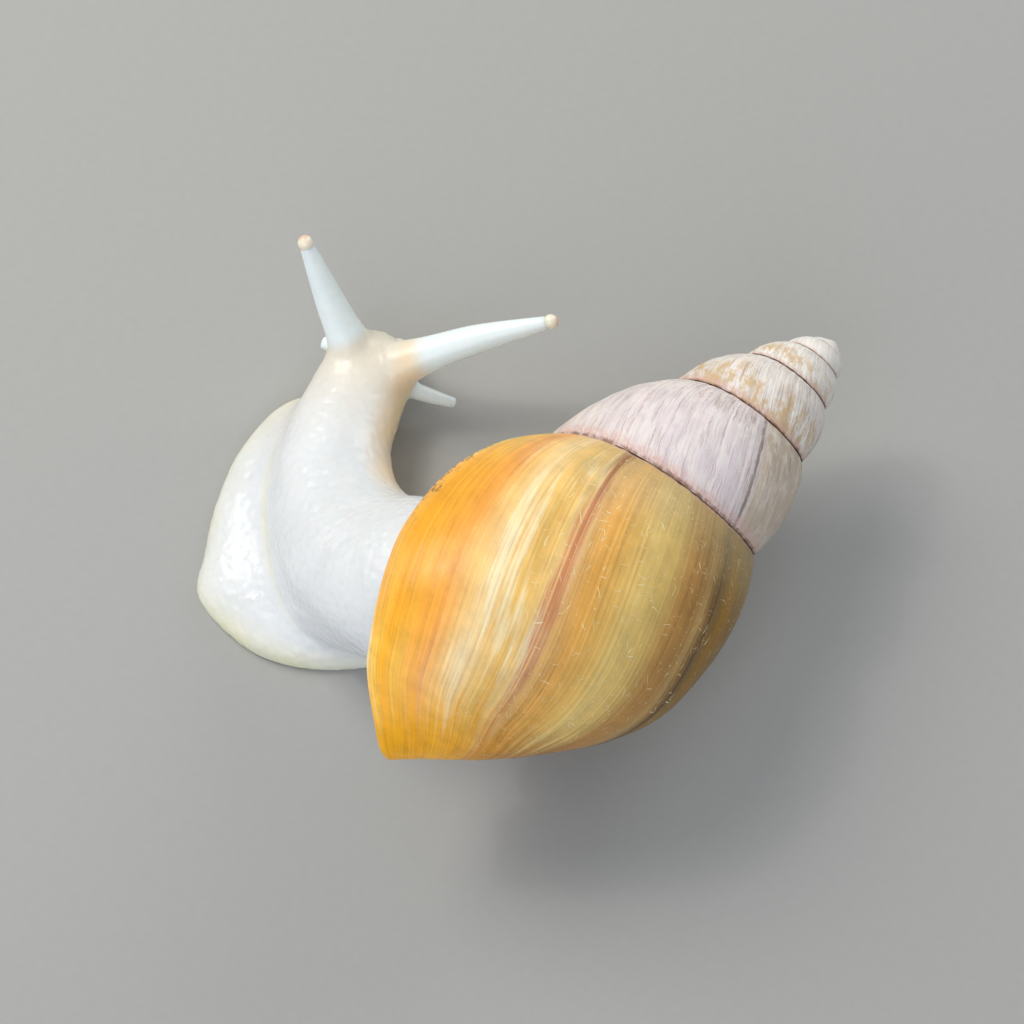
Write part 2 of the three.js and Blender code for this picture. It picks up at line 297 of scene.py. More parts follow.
def shellRows():
    # the rows run up to the lip, round its edge and back along the inner wall
    widest, lipRadius = shell["widestRadius"]
    whole = 2 * math.pi * widest / sutureGrowth  # length of the widest line
    arcs = np.arange(whole * math.exp(-sutureGrowth * shell["whorls"]), whole, shell["rowStep"])
    outer = np.append(np.log(arcs / whole) / sutureGrowth, 0)
    edge, deep = shell["wall"]
    turn = np.linspace(0, math.pi, 7)[1:-1]
    lip = edge / 2 / (2 * math.pi * lipRadius) * np.sin(turn)
    reach, innerRows = shell["insideReach"]
    inner = np.linspace(0, -reach, innerRows)
    n = np.concatenate([outer, lip, inner])
    thick = edge + (deep - edge) * np.clip(-inner / 0.04, 0, 1)
    grow = np.concatenate([np.zeros(len(outer)), -edge * (1 - np.cos(turn)) / 2, -thick])
    inside = np.concatenate([np.zeros(len(outer)), np.linspace(0.1, 0.9, len(turn)), np.ones(len(inner))])
    return n, grow, inside, whole * np.exp(sutureGrowth * np.minimum(n, 0))


def shellRelief(n, arc, share):
    # growth lines: crinkled riblets round the spire, finer lines and slow swells on the last whorl
    onSpire = np.clip((-0.75 - n) / 0.4, 0, 1) * np.clip((n + 4.6) / 0.8, 0.05, 1)
    size = np.exp(sutureGrowth * n)
    sway = wave(share * 9 + n * 5, 3) + 0.5 * wave(share * 26 + n * 9, 4)
    riblets = 0.6 * wave(n * 95 + sway * 0.7, 11) + 0.5 * wave(n * 41 + sway * 0.5, 12)
    riblets += 0.45 * wave(n * 190 + sway * 1.2, 17)
    lines = 0.6 * wave(arc * 1.7 + sway * 0.4, 13) + 0.8 * wave(arc * 0.55 + sway * 0.3, 14)
    swells = wave(arc * 0.16, 15)
    ribHeight, lineHeight, swellHeight = shell["relief"]
    relief = onSpire * ribHeight * riblets * size
    relief = relief + (1 - onSpire) * (lineHeight * lines + swellHeight * swells)
    atSuture = np.exp(-((share / 0.01) ** 2))
    deep, varies = shell["sutureDip"]
    dip = deep + varies * wave(arc * 1.4, 18)
    return relief * (1 - 0.6 * atSuture) - dip * atSuture * np.sqrt(size)


def placeShell(rows, table, shareOf):
    n, grow, inside, arc = (values[rows] for values in table)
    curveLength = 1.75  # how many times longer the generating curve is than it is high

    def place(row, column):
        share = shareOf(n[row], column)
        out = grow[row] + shellRelief(n[row], arc[row], share) * (1 - inside[row])
        values = {
            "growth": n[row],
            "share": share,
            "seam": share / coveredShare(np.minimum(n[row], 0)),
            "arc": arc[row],
            "run": share * curveLength * whorlSizes(n[row])[1],
            "inside": inside[row],
        }
        points = shellPoints(n[row], share, out)
        points[:, 2] = np.maximum(points[:, 2], 0)  # it rests on a small flat
        return points, values
    return place


def makeShell(material):
    table = shellRows()
    bm = bmesh.new()
    for name in ("growth", "share", "seam", "arc", "run", "inside"):
        bm.verts.layers.float.new(name)

    def above(n, column):
        return coveredShare(np.minimum(n, 0)) * column / shell["upperSteps"]

    def below(n, column):
        w = column / shell["lowerSteps"]
        return coveredShare(np.minimum(n, 0)) * (1 - w) + w

    everyRow = np.arange(len(table[0]))
    # below the next suture there are rows only where no later whorl covers them
    bare = np.flatnonzero(table[0] > -shell["covered"] - 0.12)
    bentGrid(bm, len(everyRow) - 1, shell["upperSteps"], placeShell(everyRow, table, above))
    bentGrid(bm, len(bare) - 1, shell["lowerSteps"], placeShell(bare, table, below))
    bmesh.ops.remove_doubles(bm, verts=bm.verts, dist=0.02 * mm)
    closeApex(bm)
    addPillar(bm)
    bmesh.ops.recalc_face_normals(bm, faces=bm.faces)
    return makeObject("shell_skin", bm, material)


def closeApex(bm):
    # the first whorl's open end is drawn in to the rounded tip on the axis
    growth, share, seam = (bm.verts.layers.float[name] for name in ("growth", "share", "seam"))
    first = min(vert[growth] for vert in bm.verts)
    edges = []
    for edge in bm.edges:
        early = all(vert[growth] < first + shell["covered"] + 0.05 for vert in edge.verts)
        atEnd = all(vert[growth] < first + 1e-5 for vert in edge.verts)
        atSuture = all(vert[share] < 1e-6 for vert in edge.verts)
        if edge.is_boundary and early and (atEnd or atSuture):
            edges.append(edge)
    tip = Vector(apex - towardsApex * (whorlSizes(-shell["whorls"])[2] - 0.06)) * mm
    made = bmesh.ops.extrude_edge_only(bm, edges=edges)["geom"]
    ring = [element for element in made if isinstance(element, bmesh.types.BMVert)]
    bmesh.ops.pointmerge(bm, verts=ring, merge_co=tip)
    around = [vert for vert in bm.verts if vert[growth] < first + 2.2]
    for _ in range(3):
        bmesh.ops.smooth_vert(bm, verts=around, factor=0.5,
                              use_axis_x=True, use_axis_y=True, use_axis_z=True)
    for vert in around:
        vert[seam] = max(0.2, min(vert[seam], 0.8))


def addPillar(bm):
    # the columella: a rounded profile spun about the axis
    radius, start, end = shell["pillar"]
    length = whorlSizes(0)[1] + whorlSizes(0)[2]
    profile = [(0.01, -end * length), (0.7 * radius, 0.6 - end * length), (radius, 4 - end * length),
               (radius, -start * length), (0.5, -0.31 * length)]
    verts = [bm.verts.new(Vector(apex + towardsApex * z + sideways * r) * mm) for r, z in profile]
    edges = [bm.edges.new(pair) for pair in zip(verts, verts[1:])]
    for vert in verts:
        vert[bm.verts.layers.float["inside"]] = 1
    bmesh.ops.spin(bm, geom=verts + edges, cent=Vector(apex) * mm, axis=Vector(towardsApex),
                   angle=2 * math.pi, steps=32, use_merge=True, use_duplicate=False)


shellColours = {
    # whorl number and colour, from half a whorl behind the lip up to it; the deep olive stops from -0.44 to
    # -0.34 are partly the shell's own olive and partly painted shade on the shell's far, lower side
    "lastHalf": [
        (-0.5, (182, 148, 66)), (-0.44, (160, 120, 32)), (-0.38, (146, 106, 18)), (-0.34, (160, 116, 26)),
        (-0.326, (136, 102, 44)), (-0.318, (100, 68, 26)), (-0.310, (158, 120, 64)), (-0.3, (196, 158, 96)),
        (-0.285, (186, 138, 72)), (-0.267, (196, 146, 80)), (-0.245, (228, 192, 112)),
        (-0.217, (240, 206, 126)), (-0.2, (240, 194, 106)), (-0.175, (234, 174, 86)),
        (-0.157, (228, 178, 108)), (-0.141, (246, 210, 138)), (-0.13, (240, 196, 116)),
        (-0.12, (236, 192, 104)), (-0.105, (249, 207, 132)), (-0.095, (250, 218, 160)),
        (-0.085, (250, 212, 145)), (-0.075, (250, 205, 130)), (-0.06, (243, 172, 98)),
        (-0.045, (246, 180, 90)), (-0.034, (250, 200, 92)), (-0.025, (250, 192, 76)),
        (-0.016, (248, 184, 70)), (-0.01, (250, 205, 90)), (-0.004, (250, 220, 140)),
        (0.0, (248, 228, 175)),
    ],
    "older": [
        (-3.0, (240, 236, 230)), (-2.0, (234, 226, 220)), (-1.6, (226, 214, 210)),
        (-1.3, (224, 212, 210)), (-1.1, (228, 216, 214)), (-0.98, (226, 214, 205)),
        (-0.9, (222, 206, 178)), (-0.8, (210, 188, 142)), (-0.65, (200, 172, 112)), (-0.5, (190, 160, 95)),
    ],
    "amber": (250, 166, 18),
    "bandTop": (150, 92, 56),
    "bandMiddle": (207, 124, 94),
    # pale streaks, partly painted highlight
    "paleStreakHighlight": (255, 244, 206),
    "lilac": (234, 222, 232),
    "varix": (112, 84, 72),
    "spireBeige": (196, 176, 140),
    "baseOrange": (255, 178, 0),
    "baseBrown": (172, 104, 8),
    "shoulderGrey": (196, 176, 128),
    "groove": (150, 120, 100),
    "chalk": (250, 246, 240),
    "ochre": (206, 168, 104),
    # the suture's line: partly its own brown, partly painted shade in its groove
    "suture": (122, 84, 50),
    "sutureRim": (222, 182, 172),
    "inside": (238, 234, 236),
    # light scratches, and the painted glints among them
    "scratchesAndGlints": (255, 240, 190),
    "flake": (92, 58, 26),
}


shellFinish = {
    "Coat Weight": 0.14,
    "Coat Roughness": 0.2,
    "Specular IOR Level": 0.25,
    "Subsurface Weight": 0.12,
    "Subsurface Radius": (1.0, 0.5, 0.25),
    "Subsurface Scale": 0.8 * mm,
}


def stretch(stops, low, high):
    return [((n - low) / (high - low), colour) for n, colour in stops]


def makeShellMaterial():
    colours = shellColours
    material, tree, shader = newMaterial("shell_lacquer")
    growth, share, seam = (attribute(tree, name) for name in ("growth", "share", "seam"))
    arc, run, inside = (attribute(tree, name) for name in ("arc", "run", "inside"))
    place = joinXyz(tree, arc, run)

    def streaks(acrossScale, alongScale, detail=3.0, roughness=0.55, shift=0.0):
        across = calc(tree, "MULTIPLY_ADD", arc, acrossScale, shift)
        return noiseOf(tree, joinXyz(tree, across, product(tree, run, alongScale), shift), 1.0,
                       detail, roughness)

    # the bands waver a little from line to line of growth
    waver = calc(tree, "MULTIPLY_ADD", calc(tree, "SUBTRACT", streaks(0.5, 0.12), 0.5), 0.016, growth)
    fine = streaks(2.6, 0.06, 4.0)
    wavered = calc(tree, "MULTIPLY_ADD", calc(tree, "SUBTRACT", fine, 0.5), 0.018, waver)
    lastHalf = colourRamp(tree, remapLinear(tree, wavered, -0.5, 0.0),
                          stretch(colours["lastHalf"], -0.5, 0.0))
    older = colourRamp(tree, remapLinear(tree, wavered, -3.0, -0.5),
                       stretch(colours["older"], -3.0, -0.5))
    colour = mixColours(tree, remap(tree, growth, -0.505, -0.495), older, lastHalf)

    # paler and greyer on the shoulder, amber on the lip's upper half, orange towards the base
    lastWhorl = remap(tree, growth, -0.62, -0.45)
    shoulder = product(tree, remap(tree, share, 0.22, 0.03, 0.0, 0.55), remap(tree, growth, -0.06, -0.16),
                       lastWhorl)
    colour = paint(tree, colour, colours["shoulderGrey"], shoulder)
    upperLip = product(tree, remap(tree, share, 0.12, 0.25), remap(tree, share, 0.6, 0.42),
                       remap(tree, growth, -0.1, -0.03, 0.0, 0.7))
    colour = paint(tree, colour, colours["amber"], upperLip)
    baseColour = mixColours(tree, remap(tree, growth, -0.08, -0.24), srgb(*colours["baseOrange"]),
                            srgb(*colours["baseBrown"]))
    ragged = spreadNoise(tree, streaks(1.1, 0.05, 3.0, 0.6, 81.0), -0.12, 0.12)
    towardsBase = calc(tree, "ADD", share, ragged)
    base = product(tree, remap(tree, towardsBase, 0.45, 0.78, 0.0, 0.93), lastWhorl)
    colour = mixColours(tree, base, colour, baseColour)

    # the brick-red band behind the lip: brown strands at the suture, then pink, then faint
    offBand = calc(tree, "ABSOLUTE", calc(tree, "ADD", waver, 0.1475))
    strands = remap(tree, streaks(4.2, 0.05, 2.0, 0.5, 51.0), 0.36, 0.56, 0.25, 1.0)
    band = product(tree, remap(tree, offBand, 0.0105, 0.003), strands,
                   remap(tree, share, 0.66, 0.36, 0.2, 0.82))
    bandColour = mixColours(tree, remap(tree, share, 0.08, 0.24), srgb(*colours["bandTop"]),
                            srgb(*colours["bandMiddle"]))
    colour = mixColours(tree, band, colour, bandColour)

    # pale streaks ahead of the band, partly the shell's own and partly painted highlight along the lines of
    # growth, cloudy patches, and fine lines of growth
    paleNoise = streaks(0.75, 0.07, 3.0, 0.6, 61.0)
    paleHighlight = product(tree, remap(tree, paleNoise, 0.5, 0.62), remap(tree, growth, -0.17, -0.13),
                   remap(tree, growth, -0.055, -0.09), remap(tree, share, 0.6, 0.4),
                   remap(tree, share, 0.06, 0.2, 0.2, 1.0), 0.55)
    colour = paint(tree, colour, colours["paleStreakHighlight"], paleHighlight)
    cloud = noiseOf(tree, place, 0.35, 4.0, 0.6)
    lines = streaks(3.4, 0.05, 4.0, 0.65, 7.0)
    tone = calc(tree, "ADD", spreadNoise(tree, cloud, -0.12, 0.1), spreadNoise(tree, lines, -0.2, 0.16))
    colour = shade(tree, colour, calc(tree, "ADD", tone, 1.0))

    # the spire is chalky: lilac below, beige behind an old lip, crinkled grooves, ochre stains
    onSpire = remap(tree, growth, -0.72, -0.95)
    crinkle = calc(tree, "MULTIPLY_ADD", noiseOf(tree, place, 0.9, 3.0, 0.6), 0.008, growth)

    def ribs(acrossScale, alongScale, shift=0.0, detail=3.0, roughness=0.6):
        across = product(tree, crinkle, acrossScale)
        return noiseOf(tree, joinXyz(tree, across, product(tree, seam, alongScale), shift), 1.0,
                       detail, roughness)

    lilac = product(tree, remap(tree, growth, -1.25, -1.2), remap(tree, seam, 0.1, 0.75, 0.1, 0.4), onSpire)
    colour = paint(tree, colour, colours["lilac"], lilac)
    beige = product(tree, remap(tree, growth, -1.245, -1.26), remap(tree, growth, -1.75, -1.4), 0.6)
    colour = paint(tree, colour, colours["spireBeige"], beige)
    oldLip = remap(tree, calc(tree, "ABSOLUTE", calc(tree, "ADD", crinkle, 1.24)), 0.005, 0.0015, 0.0, 0.7)
    colour = paint(tree, colour, colours["varix"], oldLip)
    groove = calc(tree, "ADD", remap(tree, ribs(290.0, 2.5), 0.52, 0.64, 0.0, 0.4),
                  remap(tree, ribs(110.0, 2.0, 5.0), 0.58, 0.66, 0.0, 0.3))
    young = remap(tree, growth, -3.9, -2.6, 0.25, 1.0)
    groove = product(tree, groove, onSpire, young)
    colour = paint(tree, colour, colours["groove"], groove)
    chalk = product(tree, remap(tree, ribs(42.0, 4.0, 9.0, 5.0, 0.7), 0.46, 0.62, 0.0, 0.38), onSpire)
    colour = paint(tree, colour, colours["chalk"], chalk)
    stainPlace = joinXyz(tree, product(tree, growth, 22.0), product(tree, seam, 2.4), 3.0)
    stainNoise = noiseOf(tree, stainPlace, 1.0, 5.0, 0.7)
    stained = product(tree, remap(tree, stainNoise, 0.44, 0.58, 0.0, 0.75), remap(tree, growth, -1.6, -1.9),
                      remap(tree, growth, -3.7, -3.0), remap(tree, seam, 0.35, 0.8, 0.1, 1.0))
    colour = paint(tree, colour, colours["ochre"], stained)

    # the suture: a thin uneven brown line, partly its own colour and partly painted shade in its groove,
    # with a pinkish rim
    speckle = noiseOf(tree, place, 2.2, 4.0, 0.7)
    lapped = remap(tree, growth, -shell["covered"] + 0.01, -shell["covered"] - 0.01)
    above = product(tree, remap(tree, seam, 0.9, 0.975), lapped)
    rim = calc(tree, "MAXIMUM", remap(tree, seam, 0.05, 0.012), above)
    rimNoise = remap(tree, speckle, 0.4, 0.6, 0.2, 0.9)
    colour = paint(tree, colour, colours["sutureRim"], product(tree, rim, rimNoise))
    uneven = calc(tree, "MULTIPLY_ADD", calc(tree, "SUBTRACT", speckle, 0.5), 0.03, seam)
    under = product(tree, remap(tree, uneven, 0.972, 0.992), lapped)
    sutureLineAndShade = calc(tree, "MAXIMUM", remap(tree, uneven, 0.02, 0.006), under)
    darkShare = remap(tree, streaks(1.2, 0.4, 3.0, 0.6, 71.0), 0.38, 0.6, 0.2, 0.8)
    sutureLineAndShade = product(tree, sutureLineAndShade, darkShare, remap(tree, growth, -4.4, -3.4, 0.2, 1.0))
    colour = paint(tree, colour, colours["suture"], sutureLineAndShade)

    # light scratches in three directions, small bright specks that are painted glints, and torn flakes at
    # the lip's upper edge
    dashes = None
    for turn, length, shift in ((0.35, 0.5, 3.0), (1.25, 0.6, 17.0), (2.35, 0.55, 29.0)):
        along = calc(tree, "MULTIPLY_ADD", arc, math.cos(turn), product(tree, run, math.sin(turn)))
        aside = calc(tree, "MULTIPLY_ADD", arc, -math.sin(turn), product(tree, run, math.cos(turn)))
        bowed = calc(tree, "MULTIPLY_ADD", noiseOf(tree, place, 0.5, 1.0, 0.4), 1.2, aside)
        places = joinXyz(tree, product(tree, along, length), product(tree, bowed, 6.0), shift)
        dash = remap(tree, noiseOf(tree, places, 1.0, 1.0, 0.4), 0.7, 0.75)
        dashes = dash if dashes is None else calc(tree, "MAXIMUM", dashes, dash)
    paintedGlints = remap(tree, noiseOf(tree, place, 3.6, 2.0, 0.5), 0.68, 0.74)
    scratchesAndGlints = calc(tree, "MAXIMUM", dashes, paintedGlints)
    scratchesAndGlints = product(tree, scratchesAndGlints, remap(tree, growth, -0.06, -0.17, 0.1, 0.7),
                      remap(tree, growth, -0.9, -0.5, 0.15, 1.0))
    colour = paint(tree, colour, colours["scratchesAndGlints"], scratchesAndGlints)
    torn = calc(tree, "MULTIPLY_ADD", noiseOf(tree, place, 0.45, 5.0, 0.75), 0.06, growth)
    flake = product(tree, remap(tree, torn, 0.022, 0.027), remap(tree, share, 0.36, 0.26),
                    remap(tree, noiseOf(tree, place, 1.7, 4.0, 0.7), 0.46, 0.54), 0.8)
    colour = paint(tree, colour, colours["flake"], flake)
    colour = paint(tree, colour, colours["inside"], inside)

    raised = calc(tree, "MULTIPLY_ADD", scratchesAndGlints, 0.4, lines)
    bump = addNode(tree, "Bump", {"Height": raised, "Strength": 0.6, "Distance": 0.09 * mm})
    pitted = calc(tree, "ADD", noiseOf(tree, place, 1.6, 5.0, 0.6), groove)
    pits = addNode(tree, "Bump", {"Height": pitted, "Strength": 0.3, "Distance": 0.12 * mm,
                                  "Normal": bump.outputs[0]})
    gloss = calc(tree, "ADD", spreadNoise(tree, cloud, 0.3, 0.42), product(tree, onSpire, 0.2))
    setSocket(tree, shader.inputs["Base Color"], colour)
    setSocket(tree, shader.inputs["Roughness"], gloss)
    setSocket(tree, shader.inputs["Normal"], pits.outputs[0])
    setFinish(shader, shellFinish)
    return material


shellPiece = makeShell(makeShellMaterial())
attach(shellPiece, "root")
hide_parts("shell")
print("shell made,", len(shellPiece.data.polygons), "faces")


# skin: foot, neck, head, feelers and the mantle's edge, all one surface

# each station: place, half width, height
foot = {
    "stations": [
        ((33, -6.6, 0), 2.2, 1.4), ((22, -4.8, 0), 3.6, 2.4), ((9, -3.2, 0), 6.4, 3.6),
        ((-3.2, 0.9, 0), 7.1, 4.4), ((-7.5, 9.3, 0), 8.7, 4.6), ((1.4, 17.4, 0), 8.5, 4.4),
        ((14, 19.8, 0), 8.0, 3.2),
    ],
    "round": (0.06, 0.9),     # shares of the line before and past which the ends are rounded
    "corner": (0.691, 1.2, 0.022, 8.7),  # the margin's point: place, reach, spread, half width there
    "steps": (260, 96),
}
body = {
    "stations": [
        ((3, -13, 15.5), 6.4, 5.4), ((0.5, -5, 11.8), 9.6, 8.6), ((-0.7, 2.6, 8.7), 9.0, 7.0),
        ((1.7, 10.1, 6.9), 7.3, 5.3), ((6.6, 16, 5.9), 6.3, 4.5), ((12.5, 19.5, 5.4), 5.7, 4.1),
        ((17.0, 21.6, 5.2), 5.4, 3.9), ((20.9, 23.4, 4.7), 4.6, 3.3),
    ],
    "round": (0.0, 0.89),
    "skirt": ((0.15, 0.3), (0.7, 0.84), 0.6, 0.28),  # over the foot: from, to, fullness, flare
    "steps": (200, 96),
    "insideWall": 1.25,       # how far the flesh stays in from the shell's outer surface
    "pastLip": 260,           # millimetres of room that it gains with each whorl past the lip
}
bodyLine = [station[0] for station in body["stations"]]
feelers = {
    # line: root in the head, bend, tip; half widths at the same three; how far the root flares
    "upperLeft": (((16.1, 23.5, 7), (16.6, 27.5, 12.8), (17.3, 31.9, 20)), (2.5, 1.8, 0.8), 0.7),
    "upperRight": (((18.4, 18.8, 7.4), (25.4, 13.1, 12.2), (32.4, 7.6, 15)), (2.3, 1.7, 0.75), 0.6),
    "lowerLeft": (((17.4, 23.6, 4.2), (16.1, 26.2, 4.6), (15, 28.3, 4.8)), (1.2, 1.0, 0.75), 0.2),
    "lowerRight": (((17.4, 19.2, 4.2), (19.6, 15.2, 3.6), (21.6, 12.1, 3)), (1.2, 0.95, 0.6), 0.3),
}
skin = {
    "voxel": 0.24,
    "feelerSteps": (90, 36),
    "mantle": (-0.12, -0.012, 0.02, 0.92),  # whorls from and to, shares of the curve from and to
    "mantleSteps": (180, 96),
    "mantleSection": (0.53, 0.4, 0.3),     # its middle, and how square it is across and along
    "mantleEnds": (0.04, 0.92),            # shares before and past which it is rounded
    "collar": (0.7, 0.88, 0.05),           # shares of the radius where it starts and is full, whorls
    "mantleRoll": (0.258, 0.024, 0.058),   # its swelling past the lip: share, spread, whorls
    "rollTint": (0.07, 0.08),              # the part of it that is tinted with the peach that is partly painted glow: spread, whorls
    "lips": (((20.4, 24.3, 2.5), (1.9, 1.5, 1.3), 25), ((21.3, 22.2, 2.5), (1.9, 1.5, 1.3), 25)),
    "smoothing": 8,
    "creaseFill": 320,       # rounds of filling in the hollows between the parts
    "sole": 0.12,            # what lies lower than this is flattened
    "tubercle": 0.05,
}


def roundEnds(t, ends):
    first, last = ends
    past = np.maximum(np.maximum((first - t) / max(first, 1e-6), (t - last) / (1 - last)), 0)
    return np.sqrt(np.maximum(1 - past**2, 0.0004))  # never quite down to a point


def lineFrame(points, t):
    # middle line, and the directions to its left and up, at shares t of it
    middle = spline(points, t)
    ahead = spline(points, np.minimum(t + 0.004, 1))
    behind = spline(points, np.maximum(t - 0.004, 0))
    tangent = ahead - behind
    tangent /= np.linalg.norm(tangent, axis=1)[:, None]
    left = np.cross((0, 0, 1.0), tangent)
    left /= np.linalg.norm(left, axis=1)[:, None]
    return middle, tangent, left, np.cross(tangent, left)


def bendOf(points, t):
    # how sharply the line turns to the left, one over its radius
    before, after = np.maximum(t - 0.02, 0), np.minimum(t + 0.02, 1)
    left = lineFrame(points, t)[2]
    turn = ((lineFrame(points, after)[1] - lineFrame(points, before)[1]) * left).sum(axis=1)
    return turn / np.linalg.norm(spline(points, after) - spline(points, before), axis=1)


def loft(bm, stations, outline, steps, finish=None):
    points = [station[0] for station in stations]
    sizes = [station[1:] for station in stations]
    rows, around = steps

    def place(row, column):
        t = row / rows
        turn = 2 * math.pi * column / around
        middle, _, left, up = lineFrame(points, t)
        wide, high = spline(sizes, t).T
        u, v = outline(turn, t)
        bend = bendOf(points, t)
        # on the inside of a bend the width stays short of the bend's centre
        most = np.where(u * bend > 0, 0.88 / np.maximum(np.abs(bend), 1e-6), np.inf)
        bent = middle + left * (u * np.minimum(wide, most))[:, None] + up * (v * high)[:, None]
        return (finish(bent) if finish else bent), {}
    bentGrid(bm, rows, around, place)


def footOutline(turn, t):
    at, reach, spread, wide = foot["corner"]
    ends = roundEnds(t, foot["round"])
    side = np.cos(turn)
    corner = np.where(side > 0, reach * np.exp(-(((t - at) / spread) ** 2)) / wide, 0)
    climb = np.maximum(np.sin(turn), 0) ** 0.8
    return side * (ends + corner * side**2), climb * (0.4 + 0.6 * ends)


def bodyOutline(turn, t):
    # below its middle the body keeps its width down to the foot, and flares on its left side
    start, stop, fullness, flare = body["skirt"]
    ends = roundEnds(t, body["round"])
    side, climb = np.cos(turn), np.sin(turn)
    skirt = np.where(climb < 0, smoothStep(t, *start) * (1 - smoothStep(t, *stop)), 0)
    full = np.sign(side) * np.abs(side) ** (1 - fullness * skirt)
    flared = np.where(side > 0, 1 - flare * skirt * climb, 1)
    return full * flared * ends, climb * ends


def shellPlace(points):
    # whorl number, share of the curve's height and radius there, for points about the last whorl
    off = points - apex
    depth = -(off @ towardsApex)
    flat = off + depth[:, None] * towardsApex
    radius = np.linalg.norm(flat, axis=1)
    angle = np.arctan2(flat @ upwards, flat @ sideways)
    y = np.linspace(0, 1, 81)
    n = (math.radians(shell["lipAngle"]) + trailing(y)[None] - angle[:, None]) / (2 * math.pi)
    n = (n + 0.55) % 1 - 0.55  # on the last whorl
    wide, tall, start = whorlSizes(n)
    miss = np.abs(start + tall * y - depth[:, None])
    best = miss.argmin(axis=1)
    n, wide = (np.take_along_axis(values, best[:, None], 1)[:, 0] for values in (n, wide))
    share = np.interp(y[best], curvePoints[:, 1], curveShares)
    return n, share, wide * onCurve(share)[0], radius, flat


def keepInShell(points):
    # flesh behind the lip is drawn in, towards the axis, until it is clear of the wall
    n, _, most, radius, flat = shellPlace(points)
    allowed = most - body["insideWall"] + np.maximum(n, 0) * body["pastLip"]
    scale = np.minimum(1, allowed / np.maximum(radius, 1e-6))
    within = (n > -0.5) & (n < 0.06)
    return points + np.where(within, scale - 1, 0)[:, None] * flat


def feelerWidth(half, t):
    return spline([(value, 0) for value in half], t)[:, 0]


def addFeeler(bm, line, half, flare):
    rows, around = skin["feelerSteps"]

    def place(row, column):
        t = row / rows
        turn = 2 * math.pi * column / around
        middle, _, left, up = lineFrame(line, t)
        wide = feelerWidth(half, t) + flare * np.clip(1 - t / 0.35, 0, 1) ** 2
        wide = wide * roundEnds(t, (0.0, 0.97))
        return middle + (left * np.cos(turn)[:, None] + up * np.sin(turn)[:, None]) * wide[:, None], {}
    bentGrid(bm, rows, around, place)


def addLobe(bm, centre, radii, turn=0.0):
    turned = Matrix.Rotation(math.radians(turn), 3, "Z")
    matrix = Matrix.LocRotScale(Vector(centre) * mm, turned, Vector(radii) * mm)
    bmesh.ops.create_icosphere(bm, subdivisions=4, radius=1, matrix=matrix)


def addMantle(bm):
    # a rounded body in the aperture, with a collar along the wall just inside the lip
    first, last, start, stop = skin["mantle"]
    begins, full, thick = skin["collar"]
    at, spread, swell = skin["mantleRoll"]
    half, squareAcross, squareAlong = skin["mantleSection"]
    rows, around = skin["mantleSteps"]

    def place(row, column):
        turn = 2 * math.pi * column / around
        ends = roundEnds(row / rows, skin["mantleEnds"])
        share = start + (stop - start) * row / rows
        side, climb = np.cos(turn), np.sin(turn)
        out = half + (1 - half) * ends * np.sign(climb) * np.abs(climb) ** squareAcross
        collar = smoothStep(out, begins, full)
        front = last - thick * (1 - collar) + swell * collar * np.exp(-(((share - at) / spread) ** 2))
        middle, reach = (first + front) / 2, (front - first) / 2
        n = middle + reach * ends * np.sign(side) * np.abs(side) ** squareAlong
        outer = shellPoints(n, share, -body["insideWall"])
        off = outer - apex
        flat = off - (off @ towardsApex)[:, None] * towardsApex
        return outer - flat * (1 - out)[:, None], {}
    bentGrid(bm, rows, around, place)


def closeEnds(bm):
    bmesh.ops.remove_doubles(bm, verts=bm.verts, dist=0.001 * mm)
    bmesh.ops.holes_fill(bm, edges=[edge for edge in bm.edges if edge.is_boundary], sides=0)
    bmesh.ops.recalc_face_normals(bm, faces=bm.faces)


def addPart(whole, build, *values):
    # each part is closed on its own before it joins the rest
    part = bmesh.new()
    build(part, *values)
    closeEnds(part)
    mesh = bpy.data.meshes.new("part")
    part.to_mesh(mesh)
    part.free()
    whole.from_mesh(mesh)
    bpy.data.meshes.remove(mesh)


def fuse(bm, voxel):
    # one surface round all the parts
    mesh = bpy.data.meshes.new("fused")
    bm.to_mesh(mesh)
    bm.free()
    piece = bpy.data.objects.new("fused", mesh)
    bpy.context.scene.collection.objects.link(piece)
    remesh = piece.modifiers.new("remesh", "REMESH")
    remesh.mode = "VOXEL"
    remesh.voxel_size = voxel * mm
    evaluated = piece.evaluated_get(bpy.context.evaluated_depsgraph_get())
    fused = bmesh.new()
    fused.from_mesh(evaluated.to_mesh())
    evaluated.to_mesh_clear()
    bpy.data.objects.remove(piece)
    bpy.data.meshes.remove(mesh)
    return fused


def meshArrays(bm):
    bm.verts.ensure_lookup_table()
    bm.verts.index_update()
    points = np.array([vert.co for vert in bm.verts]) / mm
    edges = np.array([[vert.index for vert in edge.verts] for edge in bm.edges])
    return points, edges


def relax(points, edges, factor, share=1.0):
    # each point moves towards the middle of its neighbours
    total = np.zeros_like(points)
    count = np.zeros(len(points))
    for a, b in (edges.T, edges.T[::-1]):
        for k in range(3):
            total[:, k] += np.bincount(a, points[b, k], len(points))
        count += np.bincount(a, minlength=len(points))
    return points + (total / np.maximum(count, 1)[:, None] - points) * (factor * share)[:, None]


def nearestOn(line, points, samples=160):
    # share of the line nearest to each point, and how far away it is
    t = np.linspace(0, 1, samples)
    on = spline(line, t)
    best = np.zeros(len(points), int)
    least = np.full(len(points), np.inf)
    for index, place in enumerate(on):
        away = ((points - place) ** 2).sum(axis=1)
        closer = away < least
        best[closer] = index
        least[closer] = away[closer]
    return t[best], np.sqrt(least)


def moveVerts(bm, points):
    # each vert goes to its point, and the normals there come back
    for vert, point in zip(bm.verts, points * mm):
        vert.co = point
    bm.normal_update()
    return np.array([vert.normal for vert in bm.verts])


